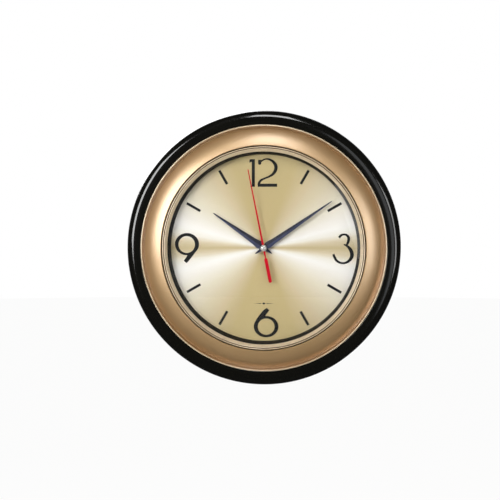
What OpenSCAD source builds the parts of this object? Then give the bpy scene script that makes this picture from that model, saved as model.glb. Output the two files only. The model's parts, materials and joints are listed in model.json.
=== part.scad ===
// Round battery wall clock: moulded case ring, plated bezel rings, flat glass,
// metal dial, three hands, and a quartz movement with its whole gear train.
//
// Frame: +Z up, the dial faces -Y, +X to the viewer's right. The origin is on
// the hands' axis, in the plane of the wall that the case rim rests on.
// Each part is drawn in clock space (x right, y up, z from the wall towards
// the viewer) and turned into the frame by place().

/* [Case] */
// Outer diameter of the case ring
case_d = 300; // [299:0.5:301]
// Front of the black case ring, measured from the wall
case_front = 40.5; // [40:0.1:41]
// Radius of the rounded shoulder of the case ring
shoulder_r = 8; // [7.8:0.1:8.2]
// Thickness of the case ring's wall
case_wall = 2.4; // [2.2:0.1:2.6]
// Front face of the ledge that carries the glass and the gold ring
ledge_z = 36; // [36:0.1:36.4]

/* [Gold rings] */
// Inner radius of the wide gold ring
gold_in_r = 111.7; // [111.5:0.1:111.9]
// Outer radius of the wide gold ring
gold_out_r = 134.6; // [134.4:0.1:134.7]
// Radius of the convex section of the wide gold ring
gold_crown_r = 48.8; // [48.6:0.1:49]
// Inner radius of the narrow gold ring that holds the glass
bead_in_r = 105.3; // [105.2:0.1:105.6]
// Radius of each of the two beads on the narrow gold ring
bead_r = 0.85; // [0.8:0.05:0.9]

/* [Glass and dial] */
// Radius of the glass
glass_r = 109.2; // [109:0.1:109.3]
// Thickness of the glass
glass_t = 2; // [1.8:0.1:2]
// Front face of the dial, measured from the wall
dial_z = 24; // [24:0.1:24]
// Thickness of the dial plate
dial_t = 0.8; // [0.6:0.1:0.8]
// Radius of the dial plate
dial_r = 110; // [109:0.5:110]
// Radius of the dial's visible edge
dial_seen_r = 102.7; // [102.5:0.1:102.9]
// Thickness of the printed numerals and bars
print_t = 0.12; // [0.08:0.01:0.2]
// Inner end of the hour bars
bar_in_r = 81; // [79:0.5:83]
// Outer end of the hour bars
bar_out_r = 98.4; // [97:0.1:99]
// Width of the hour bars
bar_w = 2.9; // [2.5:0.1:3.3]

/* [Hands] */
// Length of the hour hand from its axis
hour_len = 67.2; // [60:0.1:72]
// Length of the minute hand from its axis
minute_len = 90.5; // [80:0.1:95]
// Length of the second hand from its axis
second_len = 87.8; // [80:0.1:95]
// Length of the second hand's tail
second_tail = 38.7; // [30:0.1:45]
// Angle of the hour hand, clockwise from twelve
hour_deg = 304.5; // [300:0.1:309]
// Angle of the minute hand, clockwise from twelve
minute_deg = 55.5; // [50:0.1:60]
// Angle of the second hand, clockwise from twelve
second_deg = 348.7; // [340:0.1:355]
// Radius of the centre cap
cap_r = 3.6; // [3.4:0.1:3.7]

/* [Back] */
// Thickness of the dial tray
tray_t = 2; // [1.8:0.1:2.2]
// Radius of the round entry of the hanging keyhole
key_r = 4.5; // [4.3:0.1:4.7]
// Width of the keyhole's slot
key_slot = 4; // [3.8:0.1:4.2]
// Height of the keyhole's entry above the hands' axis
key_y = 117.5; // [117:0.1:118]
// Radius of the circle that the case screws stand on
screw_pcr = 131; // [130.5:0.1:131.5]

/* [Movement] */
// Width of the movement case
mov_w = 58; // [58:0.1:58.2]
// Rear face of the movement, measured from the wall
mov_z0 = 5.4; // [5.4:0.1:5.5]
// Radial play of each running shaft
play = 0.07; // [0.05:0.01:0.09]
// Diameter of the battery
batt_d = 14.2; // [13.8:0.1:14.5]

/* [Hidden] */
case_r = case_d / 2;
tray_z = dial_z - dial_t - tray_t;      // rear face of the tray, front face of the movement
glass_z = ledge_z;
// movement plan: the hands' axis C is at 0,0 and the other arbors stand round it
mt = 0.36; mc = 0.34; ms = 0.4; mr = 0.3; mw = 0.5; mh = 0.48;
a_t = 160; a_i = 75; a_r = 20; a_m = 10;
T = 12.24 * [cos(a_t), sin(a_t)];
I = 12 * [cos(a_i), sin(a_i)];
R = I + 8.4 * [cos(a_r), sin(a_r)];
M = 12 * [cos(a_m), sin(a_m)];
batt_y = -21.3; batt_z = 12.5;
second_r = 0.55; minute_r = 1.7; hour_r = 2.55; bush_r = 3.5;

// ---- helpers ----
module place() rotate([90, 0, 0]) children();
module ring(r1, r2, z, h, fn = 128) translate([0, 0, z]) difference() {
    cylinder(r = r1, h = h, $fn = fn);
    translate([0, 0, -1]) cylinder(r = r2, h = h + 2, $fn = fn);
}
module disc(r, z, h, fn = 64) translate([0, 0, z]) cylinder(r = r, h = h, $fn = fn);
module box(a, b) translate(a) cube(b - a);
module rounded(x0, y0, x1, y1, r) {
    translate([x0 + r, y0]) square([x1 - x0 - 2 * r, y1 - y0]);
    translate([x0, y0 + r]) square([x1 - x0, y1 - y0 - 2 * r]);
    for (x = [x0 + r, x1 - r], y = [y0 + r, y1 - r]) translate([x, y]) circle(r = r, $fn = 32);
}
// a straight-sided clock tooth form, n teeth, first tooth at angle ph
function tooth(a, p, rr, rt, hr, ht) = [
    [rr * cos(a - hr * p), rr * sin(a - hr * p)], [rt * cos(a - ht * p), rt * sin(a - ht * p)],
    [rt * cos(a + ht * p), rt * sin(a + ht * p)], [rr * cos(a + hr * p), rr * sin(a + hr * p)]];
function teeth(n, m, ph, hr, ht) = [for (i = [0:n - 1]) each
    tooth(ph + i * 360 / n, 360 / n, n * m / 2 - 1.15 * m, n * m / 2 + 0.8 * m, hr, ht)];
module wheel2d(n, m, ph) polygon(teeth(n, m, ph, 0.245, 0.09));
module pinion2d(n, m, ph) polygon(teeth(n, m, ph, 0.2, 0.11));
module wheel(n, m, ph, z, h, bore, arms = 0) translate([0, 0, z]) linear_extrude(height = h) difference() {
    wheel2d(n, m, ph);
    circle(r = bore, $fn = 48);
    if (arms > 0) for (i = [0:arms - 1]) rotate(i * 360 / arms + 30)
        translate([n * m / 4 + 0.6, 0]) circle(r = n * m / 11, $fn = 32);
}
module pinion(n, m, ph, z, h, bore = 0) translate([0, 0, z]) linear_extrude(height = h) difference() {
    pinion2d(n, m, ph);
    if (bore > 0) circle(r = bore, $fn = 48);
}
// a smooth stroke through points [x, y, width]
function cr(a, b, c, d, t) = 0.5 * (2 * b + (c - a) * t + (2 * a - 5 * b + 4 * c - d) * t * t
    + (3 * b - a - 3 * c + d) * t * t * t);
function path(p, n = 4) = [for (i = [0:len(p) - 2], k = [0:n - 1])
    cr(p[max(i - 1, 0)], p[i], p[i + 1], p[min(i + 2, len(p) - 1)], k / n), p[len(p) - 1]];
function dirn(q, i) = let (d = q[min(i + 1, len(q) - 1)] - q[max(i - 1, 0)]) [d[0], d[1]] / norm([d[0], d[1]]);
function side(q, s) = [for (i = [0:len(q) - 1]) let (d = dirn(q, i)) [q[i][0] - s * d[1] * q[i][2] / 2, q[i][1] + s * d[0] * q[i][2] / 2]];
function back(v) = [for (i = [len(v) - 1:-1:0]) v[i]];
module stroke(p) { q = path(p); polygon(concat(side(q, 1), back(side(q, -1)))); }
module oval(cx, cy, rx, ry) polygon([for (i = [0:47]) [cx + rx * cos(i * 7.5), cy + ry * sin(i * 7.5)]]);
module print(z = dial_z) translate([0, 0, z]) linear_extrude(height = print_t) children();

// ---- case ----
module outer_frame() color([0.02, 0.02, 0.02]) place() difference() {
    union() {
        rotate_extrude($fn = 200) difference() {
            union() {
                polygon([[107, ledge_z - case_wall], [107, ledge_z], [gold_out_r + 0.2, ledge_z],
                    [gold_out_r + 0.2, case_front - 0.4], [case_r - shoulder_r, case_front],
                    [case_r - shoulder_r, case_front - shoulder_r], [case_r, case_front - shoulder_r],
                    [case_r, 24], [case_r - 0.8, 12], [case_r - 2.6, 0], [140, 0], [140, ledge_z - case_wall]]);
                translate([case_r - shoulder_r, case_front - shoulder_r]) circle(r = shoulder_r, $fn = 96);
            }
            polygon([[90, -1], [case_r - 5.1, -1], [case_r - 3.2, 12], [case_r - case_wall, 24],
                [case_r - case_wall, case_front - shoulder_r], [case_r - shoulder_r, case_front - shoulder_r],
                [case_r - shoulder_r, case_front - case_wall], [gold_out_r + 2.6, case_front - case_wall - 0.2],
                [gold_out_r + 2.6, ledge_z - case_wall], [90, ledge_z - case_wall]]);
            intersection() {
                translate([case_r - shoulder_r, case_front - shoulder_r]) circle(r = shoulder_r - case_wall, $fn = 96);
                translate([case_r - shoulder_r, case_front - shoulder_r]) square(10);
            }
        }
        // six screw posts under the ledge
        for (i = [0:5]) rotate(i * 60) translate([screw_pcr, 0, dial_z - dial_t])
            cylinder(r = 4, h = ledge_z - case_wall - dial_z + dial_t + 0.5, $fn = 32);
    }
    for (i = [0:5]) rotate(i * 60) translate([screw_pcr, 0, dial_z - dial_t - 1]) cylinder(r = 1.45, h = 10, $fn = 32);
}

// the convex face falls outwards from the inner edge to a gutter beside the lip
crown_c = [104.9, 44 - sqrt(pow(gold_crown_r, 2) - pow(6.8, 2))];
function crown_z(r, d) = crown_c[1] + sqrt(pow(gold_crown_r - d, 2) - pow(r - crown_c[0], 2));
module gold_ring() color([0.78, 0.66, 0.5]) place() rotate_extrude($fn = 200)
    polygon(concat(
        [[gold_in_r, ledge_z], [gold_in_r, 43.3]],
        [for (i = [0:24]) let (r = gold_in_r + 0.6 + i * (131 - gold_in_r - 0.6) / 24) [r, crown_z(r, 0)]],
        [[gold_out_r - 2.3, 39.2]],
        [for (i = [0:12]) [gold_out_r - 1.1 + 1.1 * cos(180 - i * 15), ledge_z + 4.1 + 1.1 * sin(180 - i * 15)]],
        [[gold_out_r, ledge_z], [128.2, ledge_z]],
        [for (i = [0:12]) let (r = 128 - i * (128 - gold_in_r - 2) / 12) [r, crown_z(r, 2)]],
        [[gold_in_r + 2, ledge_z]]));

function crown(x, y, a0, a1, n = 10) = [for (i = [0:n]) [x + bead_r * cos(a0 + (a1 - a0) * i / n), y + bead_r * sin(a0 + (a1 - a0) * i / n)]];
module glass_retaining_ring() color([0.86, 0.74, 0.56]) place() rotate_extrude($fn = 200)
    polygon(concat([[bead_in_r, ledge_z + glass_t], [bead_in_r, ledge_z + 2.7], [107.3, 41.2]],
        crown(108.35, 41.5, 190, 10), crown(110.05, 41.7, 170, 0),
        [[110.9, ledge_z], [glass_r + 0.2, ledge_z], [glass_r + 0.2, ledge_z + glass_t]]));

module glass() color([0.8, 0.9, 0.95, 0.25]) place() disc(glass_r, glass_z, glass_t, 128);

module dial_spacer_ring() color([0.03, 0.03, 0.03]) place() rotate_extrude($fn = 200)
    polygon([[dial_seen_r, dial_z], [104.8, ledge_z - 0.02], [106.8, ledge_z - 0.02], [106.8, dial_z + 1.6],
        [dial_r, dial_z + 1.6], [dial_r, dial_z]]);

// ---- dial ----
module dial() color([0.85, 0.78, 0.6]) place() ring(dial_r, bush_r + 0.1, dial_z - dial_t, dial_t);

module dial_hour_bars() color([0.1, 0.1, 0.12]) place() print()
    for (h = [1, 2, 4, 5, 7, 8, 10, 11]) rotate(-h * 30) translate([-bar_w / 2, bar_in_r]) square([bar_w, bar_out_r - bar_in_r]);

module dial_numerals() color([0.1, 0.1, 0.12]) place() print() {
    // 1
    polygon([[-15.8, 97.2], [-14.4, 97.6], [-9.9, 97.6], [-9.9, 67.2], [-15.1, 67.2], [-14.7, 67.9], [-13.3, 68.3],
        [-13.4, 94.6], [-14.6, 94.4], [-15.4, 93.5], [-16, 94.4]]);
    // 2
    difference() {
        union() {
            stroke([[-3.9, 94.6, 2.4], [-2.6, 95.6, 1.9], [1.5, 97.6, 1.7], [5.9, 97.3, 2.2], [10.3, 94.6, 3], [13, 90.5, 3.7],
                [12.9, 85.9, 3.7], [10.3, 81.5, 3], [5.9, 78.5, 2.2], [1, 76.5, 2], [-3.4, 74.2, 2.6], [-5.4, 71, 2.8], [-5.6, 68.2, 2.4]]);
            translate([-6.4, 93]) square([3.5, 3.9]);
            translate([-4.65, 93.1]) circle(r = 1.75, $fn = 24);
            translate([-6.8, 67.2]) square([21.4, 3.4]);
        }
        translate([-8, 66]) square([30, 1.2]);
    }
    // 3
    stroke([[82.5, 11.3, 2.5], [85.1, 14, 2.5], [88.2, 14.8, 2.2], [91.2, 13.9, 2.6], [93.1, 11.3, 3.1], [93, 8, 3.1], [92.1, 5.3, 2.8], [90.9, 2.9, 2]]);
    stroke([[87.8, 3.9, 1.4], [91.2, 2.4, 2.4], [94.5, -0.8, 3.5], [96.4, -4.6, 4.1], [96.8, -8.4, 4.1], [95.6, -11.7, 3.6],
        [92.5, -15, 2.8], [88.2, -16.7, 2.3], [83.5, -16.1, 2.4], [79.9, -13.7, 2.7], [77.7, -10.1, 2.8], [76.4, -6.8, 2.5]]);
    // 6
    difference() {
        union() {
            oval(2.5, -87.1, 13.65, 11.85);
            polygon([[-11.15, -87.4], [-10.4, -83], [-7.9, -78.6], [-4.5, -73.7], [-0.9, -69.3], [3.1, -66.4], [6.2, -69],
                [3.7, -72], [1.5, -75.4], [2.5, -80], [-4, -85]]);
        }
        oval(2.6, -87.1, 9.3, 9);
    }
    // 9
    difference() {
        union() {
            oval(-85.1, 3.9, 13.4, 12.3);
            polygon([[-71.75, 4.2], [-72.5, 0.7], [-74.4, -3], [-77.4, -7.3], [-81.3, -12.3], [-85.5, -17.1], [-88.8, -14.4],
                [-86.7, -11.7], [-84.8, -8.6], [-85, -3], [-78, 2]]);
        }
        oval(-85.4, 3.5, 9.1, 9.3);
    }
}

// a plain line, lozenge, line
module dial_ornament() color([0.1, 0.1, 0.12]) place() print() {
    polygon([[-11, -61.5], [-3, -61.9], [-3, -61.1]]);
    polygon([[11, -61.5], [3, -61.1], [3, -61.9]]);
    polygon([[-1.9, -61.5], [0, -60.2], [1.9, -61.5], [0, -62.8]]);
}

// ---- back ----
module dial_tray() color([0.12, 0.12, 0.12]) place() difference() {
    union() {
        disc(141.5, tray_z, tray_t, 200);
        ring(141.5, 139.5, 15, tray_z - 15 + 0.2, 200);
        // snap arms that hold the movement
        for (s = [0, 1]) mirror([s, 0, 0]) difference() {
            box([mov_w / 2 + 0.1, -6, mov_z0 - 1.4], [mov_w / 2 + 2.2, 6, tray_z + 0.2]);
        }
        for (s = [0, 1]) mirror([s, 0, 0]) box([mov_w / 2 - 1.2, -6, mov_z0 - 1.4], [mov_w / 2 + 2.2, 6, mov_z0]);
    }
    disc(bush_r + 0.1, tray_z - 5, 12);
    for (i = [0:5]) rotate(i * 60) translate([screw_pcr, 0, tray_z - 1]) cylinder(r = 1.6, h = tray_t + 2, $fn = 32);
    for (s = [-1, 1]) translate([s * 16, 122, tray_z - 1]) cylinder(r = 2.05, h = 2.6, $fn = 32);
}
// stiffening ribs moulded on the rear of the tray
module tray_ribs() color([0.12, 0.12, 0.12]) place() {
    ring(47.5, 45.5, 16.5, tray_z - 16.5);
    for (i = [0:11]) rotate(15 + i * 30) box([46.5, -0.8, 17], [139.5, 0.8, tray_z]);
}

// two posts, pressed into the tray, that carry the hanger plate
module hanger_posts() color([0.12, 0.12, 0.12]) place() for (s = [-1, 1]) translate([s * 16, 122, 0]) difference() {
    union() {
        disc(3.6, 4, tray_z - 4, 48);
        disc(2, tray_z - 0.1, 1.6, 48);
    }
    translate([0, 0, 3]) cylinder(r = 1.25, h = 9, $fn = 32);
}

// pan-head cross-recess screw, head below z = 0, shank up
module screw(rh, hh, rs, len) difference() {
    union() {
        translate([0, 0, -hh]) cylinder(r = rh, h = hh, $fn = 48);
        cylinder(r = rs, h = len, $fn = 32);
    }
    for (a = [0, 90]) rotate(a) translate([-rh * 0.6, -0.35, -hh - 1]) cube([rh * 1.2, 0.7, 1 + hh * 0.6]);
}
module case_screws() color([0.7, 0.7, 0.72]) place()
    for (i = [0:5]) rotate(i * 60) translate([screw_pcr, 0, tray_z]) rotate(i * 23) screw(2.8, 1.8, 1.4, 9.6);

module hanger_plate() color([0.75, 0.76, 0.78]) place() translate([0, 0, 2.8]) linear_extrude(height = 1.2) difference() {
    union() {
        translate([-16, 110.5]) square([32, 20]);
        for (s = [-1, 1]) translate([s * 16, 120.5]) circle(r = 10, $fn = 64);
    }
    translate([0, key_y]) circle(r = key_r, $fn = 64);
    translate([-key_slot / 2, key_y]) square([key_slot, 8]);
    translate([0, key_y + 8]) circle(r = key_slot / 2, $fn = 48);
    for (s = [-1, 1]) translate([s * 16, 122]) circle(r = 1.6, $fn = 32);
}
module hanger_screws() color([0.7, 0.7, 0.72]) place()
    for (s = [-1, 1]) translate([s * 16, 122, 2.8]) rotate(s * 31) screw(3, 1.6, 1.2, 8);

// ---- hands ----
// a two-facet ridged blade over an outline: h is the ridge's height
module ridged(h, slope, len) intersection() {
    linear_extrude(height = h + 1) children();
    rotate([-90, 0, 0]) translate([0, 0, -30]) linear_extrude(height = len + 60)
        polygon([[0, -h], [8, -h + 8 * slope], [8, 1], [-8, 1], [-8, -h + 8 * slope]]);
}
module blade(len, ws, wn, tail) {
    polygon([[0, len + 0.4], [0.55, len - 0.6], [wn, 12.5], [ws, 6.6], [ws * 0.93, 4.8], [2.2, 0], [1.9, -3], [0.5, -tail], [-0.5, -tail],
        [-1.9, -3], [-2.2, 0], [-ws * 0.93, 4.8], [-ws, 6.6], [-wn, 12.5], [-0.55, len - 0.6]]);
}
module hour_hand() color([0.08, 0.09, 0.18]) place() rotate(-hour_deg) difference() {
    union() {
        translate([0, 0, 26.6]) ridged(1.1, 0.13, 100) blade(hour_len, 4.6, 3.45, 10.9);
        disc(3.9, 26.4, 1.6);
    }
    disc(hour_r, 20, 12);
}
module minute_hand() color([0.08, 0.09, 0.18]) place() rotate(-minute_deg) difference() {
    union() {
        translate([0, 0, 28.9]) ridged(1.1, 0.13, 120) blade(minute_len, 4, 3.1, 11.1);
        disc(3.6, 28.7, 1.6);
    }
    disc(minute_r, 20, 12);
}
module second_hand() color([0.83, 0, 0.15]) place() rotate(-second_deg) difference() {
    union() {
        translate([0, 0, 31.2]) linear_extrude(height = 0.5) {
            polygon([[1.15, 0], [0.5, second_len], [-0.5, second_len], [-1.15, 0], [-1.1, -11], [-1.8, -12.4],
                [-1.8, 1 - second_tail], [-1.1, -second_tail], [1.1, -second_tail], [1.8, 1 - second_tail], [1.8, -12.4], [1.1, -11]]);
            circle(r = 3, $fn = 48);
        }
        disc(1.5, 30.8, 0.9, 48);
    }
    disc(second_r, 20, 20, 48);
}
module centre_cap() color([0.8, 0.8, 0.8]) place() difference() {
    rotate_extrude($fn = 96) intersection() {
        translate([0, 33.8 - 5.4]) circle(r = 5.4, $fn = 96);
        translate([0, 31.7]) square([cap_r, 4]);
    }
    disc(second_r, 20, 12.6, 48);
}

// ---- movement case ----
module movement_case() color([0.1, 0.1, 0.1]) place() difference() {
    union() {
        difference() {
            translate([0, 0, mov_z0 + 1.4]) linear_extrude(height = tray_z - mov_z0 - 1.4) rounded(-mov_w / 2, -30, mov_w / 2, 26, 4);
            // train chamber, with the bay's wall left below it
            translate([0, 0, mov_z0 - 1]) linear_extrude(height = tray_z - 1.4 - mov_z0 + 1) rounded(1.2 - mov_w / 2, -12.6, mov_w / 2 - 1.2, 24.8, 2.8);
            // battery bay
            box([1.2 - mov_w / 2, -28.8, mov_z0], [mov_w / 2 - 1.2, -13.8, tray_z - 1.1]);
            box([1.2 - mov_w / 2, -12.6, mov_z0], [mov_w / 2 - 1.2, 0, tray_z - 1.4]);
            // notches for the contact strips
            box([1.2 - mov_w / 2, -14, mov_z0], [1.8 - mov_w / 2, -12.4, 12]);
            box([mov_w / 2 - 2.1, -14, mov_z0], [mov_w / 2 - 1.2, -12.4, 12]);
        }
        disc(bush_r, tray_z - 1.4, 26.1 - tray_z + 1.4);                       // bush for the hands
        for (p = [T, I, R]) translate([p[0], p[1], 0]) disc(1.3, tray_z - 2.6, 1.6, 32);
    }
    disc(hour_r + play, tray_z - 4, 12);
    for (p = [T, I, R, M]) translate([p[0], p[1], tray_z - 3]) cylinder(r = 0.45 + play, h = 2.2, $fn = 32);
}
module movement_cover() color([0.1, 0.1, 0.1]) place() {
    difference() {
        union() {
            translate([0, 0, mov_z0]) linear_extrude(height = 1.4) rounded(-mov_w / 2, -30, mov_w / 2, 26, 4);
            for (p = [T, I, R, [0, 0]]) translate([p[0], p[1], 0]) disc(1.5, mov_z0 + 1.2, 1.2, 32);
        }
        box([1.2 - mov_w / 2, -28.8, mov_z0 - 1], [mov_w / 2 - 1.2, -13.8, mov_z0 + 3]);
        translate([M[0], M[1], mov_z0 - 1]) cylinder(r = 1.2 + play, h = 4, $fn = 48);
        for (p = [T, I, R]) translate([p[0], p[1], mov_z0 + 0.8]) cylinder(r = 0.45 + play, h = 3, $fn = 32);
        translate([0, 0, mov_z0 + 0.8]) cylinder(r = second_r + play, h = 3, $fn = 32);
        // raised-tool recess beside the knob, and the polarity signs
        for (a = [0, 90]) translate([20.5, -11, mov_z0]) rotate(a) translate([-1.8, -0.4, -1]) cube([3.6, 0.8, 1.3]);
        translate([-20.5, -11, mov_z0]) translate([-1.8, -0.4, -1]) cube([3.6, 0.8, 1.3]);
    }
}

// ---- gear train ----
module rotor_magnet() color([0.25, 0.25, 0.27]) place() translate([R[0], R[1], 0]) ring(3, 0.8, 12.7, 2.2, 64);
module rotor_pinion() color([0.93, 0.93, 0.9]) place() translate([R[0], R[1], 0]) {
    disc(0.8, 12.3, 3.2, 32);
    disc(0.45, mov_z0 + 1, 13.8, 32);
    pinion(8, mr, a_r + 180 + 22.5, 11, 1.4);
}
module intermediate_wheel() color([0.93, 0.93, 0.9]) place() translate([I[0], I[1], 0]) {
    wheel(48, mr, a_r, 11.3, 0.8, 0.45, 5);
    pinion(10, ms, a_i + 180 + 18, 9.4, 1.9);
    disc(0.9, 12, 0.6, 32);
    disc(0.45, mov_z0 + 1, 13.8, 32);
}
module second_wheel() color([0.93, 0.93, 0.9]) place() {
    wheel(50, ms, a_i, 9.6, 1, second_r, 5);
    ring(2.2, second_r, 10.5, 1.7, 48);
    pinion(8, mt, a_t, 12.1, 1.5, second_r);
}
module second_arbor() color([0.75, 0.75, 0.78]) place() disc(second_r, mov_z0 + 1, 32.6 - mov_z0 - 1, 48);
module third_wheel() color([0.93, 0.93, 0.9]) place() translate([T[0], T[1], 0]) {
    wheel(60, mt, a_t + 180 + 3, 12.4, 0.9, 0.45, 5);
    pinion(8, mc, a_t + 180, 13.2, 2.9);
    disc(0.45, mov_z0 + 1, 13.8, 32);
}
module centre_wheel() color([0.85, 0.7, 0.35]) place() {
    wheel(64, mc, a_t + 180 / 64, 14.8, 1, minute_r, 5);
    ring(2.6, minute_r, 14.2, 0.7, 48);
    ring(2.6, minute_r, 15.7, 0.6, 48);
}
module minute_pipe() color([0.85, 0.7, 0.35]) place() difference() {
    union() { disc(minute_r, 14.2, 30.6 - 14.2, 64); pinion(12, mw, a_m, 16.5, 1.5); }
    disc(second_r + play, 10, 25, 48);
}
module minute_works_wheel() color([0.93, 0.93, 0.9]) place() translate([M[0], M[1], 0]) {
    wheel(36, mw, a_m + 180 + 5, 16.6, 1, 0.45, 5);
    pinion(10, mh, a_m + 180, 17.5, 2.1);
    disc(0.45, 12.8, 7.6, 32);
    disc(1.2, 3.6, 9.4, 48);
}
module hour_wheel() color([0.93, 0.93, 0.9]) place() difference() {
    union() { wheel(40, mh, a_m + 4.5, 18.3, 1, 1); disc(hour_r, 18.2, 28.3 - 18.2, 64); }
    disc(minute_r + play, 10, 25, 64);
}
module setting_knob() color([0.12, 0.12, 0.12]) place() translate([M[0], M[1], 0]) difference() {
    union() {
        disc(6, 2.6, 1.9, 96);
        for (i = [0:23]) rotate(i * 15) box([5.6, -0.4, 2.6], [6.4, 0.4, 4.5]);
        disc(2.2, 4.4, 0.6, 48);
    }
    disc(1.2, 3.6, 3, 48);
    ring(4.6, 2.4, 1.6, 1.5, 64);
}

// ---- electric parts ----
module stator() color([0.6, 0.62, 0.65]) place() translate([0, 0, 13.6]) linear_extrude(height = 0.8) difference() {
    union() {
        translate([-1, 12.8]) square([26, 4.7]);
        translate([6.5, 10.6]) square([9, 3]);
        translate([-1, 17]) square([4, 6.2]);
        translate([21, 17]) square([4, 6.2]);
    }
    translate([R[0], R[1]]) circle(r = 3.45, $fn = 64);
}
module coil_core() color([0.55, 0.57, 0.6]) place() translate([0, 0, 12.8]) linear_extrude(height = 0.8) {
    translate([-1, 20.6]) square([26, 2]);
    translate([-1, 19.2]) square([4, 4]);
    translate([21, 19.2]) square([4, 4]);
}
module coil_bobbin() color([0.9, 0.9, 0.85]) place() translate([6.5, 21.6, 13.2]) rotate([0, 90, 0]) difference() {
    union() {
        cylinder(r = 1.5, h = 14, $fn = 48);
        cylinder(r = 3, h = 0.8, $fn = 64);
        translate([0, 0, 13.2]) cylinder(r = 3, h = 0.8, $fn = 64);
    }
    translate([-0.4, -1, -1]) cube([0.8, 2, 18]);
}
module coil_winding() color([0.72, 0.35, 0.15]) place() translate([7.3, 21.6, 13.2]) rotate([0, 90, 0]) ring(2.6, 1.5, 0, 12.4, 64);
module circuit_board() color([0.1, 0.35, 0.15]) place() translate([0, 0, 9]) linear_extrude(height = 1) difference() {
    translate([-27.2, 15.4]) square([19.8, 8]);
    for (x = [-24.5, -10]) translate([x, 21.8]) circle(r = 0.6, $fn = 24);
}
module chip_cover() color([0.03, 0.03, 0.03]) place() translate([-20, 19, 8]) rotate_extrude($fn = 48) intersection() {
    translate([0, 2.4]) circle(r = 2.9, $fn = 64);
    translate([0, -2]) square([4, 3]);
}
module quartz_crystal() color([0.8, 0.8, 0.8]) place() translate([-16.5, 19, 7.95]) rotate([0, 90, 0]) {
    cylinder(r = 1, h = 6, $fn = 48);
    translate([0, 0, 6]) cylinder(r = 0.7, h = 0.4, $fn = 48);
}
module battery_contact_plus() color([0.8, 0.78, 0.7]) place() {
    box([27, -27.5, 7.4], [27.4, -15, 18.6]);
    box([27, -15.5, 8], [27.4, -11.6, 9.5]);
    box([-25.8, -12.5, 8], [27.4, -12.1, 9.5]);
    box([-25.8, -12.5, 8], [-25.4, 15.4, 9.5]);
}
module battery_contact_minus() color([0.8, 0.78, 0.7]) place() {
    box([-27.8, -27.5, 7.4], [-27.4, -15, 18.6]);
    box([-27.8, -15.5, 8], [-27.4, 18.5, 9.5]);
    box([-27.8, 16.4, 8], [-25.9, 18.5, 9]);
}
// conical contact spring, swept along a helix
spring_n = 54;
function helix(i) = let (t = i / spring_n, a = t * 1170, r = 4.6 - 2 * t) [-27.15 + 2.6 * t, batt_y + r * cos(a), batt_z + r * sin(a)];
function sweep_ring(i) = let (p = helix(i), d = (helix(min(i + 1, spring_n)) - helix(max(i - 1, 0))), u = d / norm(d),
    e = cross(u, [1, 0, 0]) / norm(cross(u, [1, 0, 0])), f = cross(u, e)) [for (k = [0:7]) p + 0.25 * (cos(45 * k) * e + sin(45 * k) * f)];
module battery_spring() color([0.8, 0.78, 0.7]) place() polyhedron(
    points = [for (i = [0:spring_n]) each sweep_ring(i)],
    faces = concat([[for (k = [7:-1:0]) k]], [[for (k = [0:7]) spring_n * 8 + k]],
        [for (i = [0:spring_n - 1], k = [0:7]) [i * 8 + k, i * 8 + (k + 1) % 8, i * 8 + 8 + (k + 1) % 8, i * 8 + 8 + k]]), convexity = 6);

// ---- battery ----
module along(x) place() translate([x, batt_y, batt_z]) rotate([0, 90, 0]) children();
module battery_can() color([0.75, 0.75, 0.77]) along(-23.9) {
    cylinder(r = batt_d / 2 - 0.3, h = 48.9, $fn = 96);
    translate([0, 0, 48.8]) cylinder(r = 4.2, h = 0.3, $fn = 64);
}
module battery_sleeve() color([0.15, 0.17, 0.2]) along(-23.6) ring(batt_d / 2, batt_d / 2 - 0.3, 0, 48.3, 96);
module battery_plus_cap() color([0.8, 0.8, 0.8]) along(25.2) cylinder(r = 2.75, h = 1.3, $fn = 64);

outer_frame();
gold_ring();
glass_retaining_ring();
glass();
dial_spacer_ring();
dial();
dial_numerals();
dial_hour_bars();
dial_ornament();
dial_tray();
tray_ribs();
case_screws();
hanger_plate();
hanger_posts();
hanger_screws();
hour_hand();
minute_hand();
second_hand();
centre_cap();
movement_case();
movement_cover();
rotor_magnet();
rotor_pinion();
intermediate_wheel();
second_wheel();
second_arbor();
third_wheel();
centre_wheel();
minute_pipe();
minute_works_wheel();
hour_wheel();
setting_knob();
stator();
coil_core();
coil_bobbin();
coil_winding();
circuit_board();
chip_cover();
quartz_crystal();
battery_contact_plus();
battery_contact_minus();
battery_spring();
battery_can();
battery_sleeve();
battery_plus_cap();
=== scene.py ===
import json
import math

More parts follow.
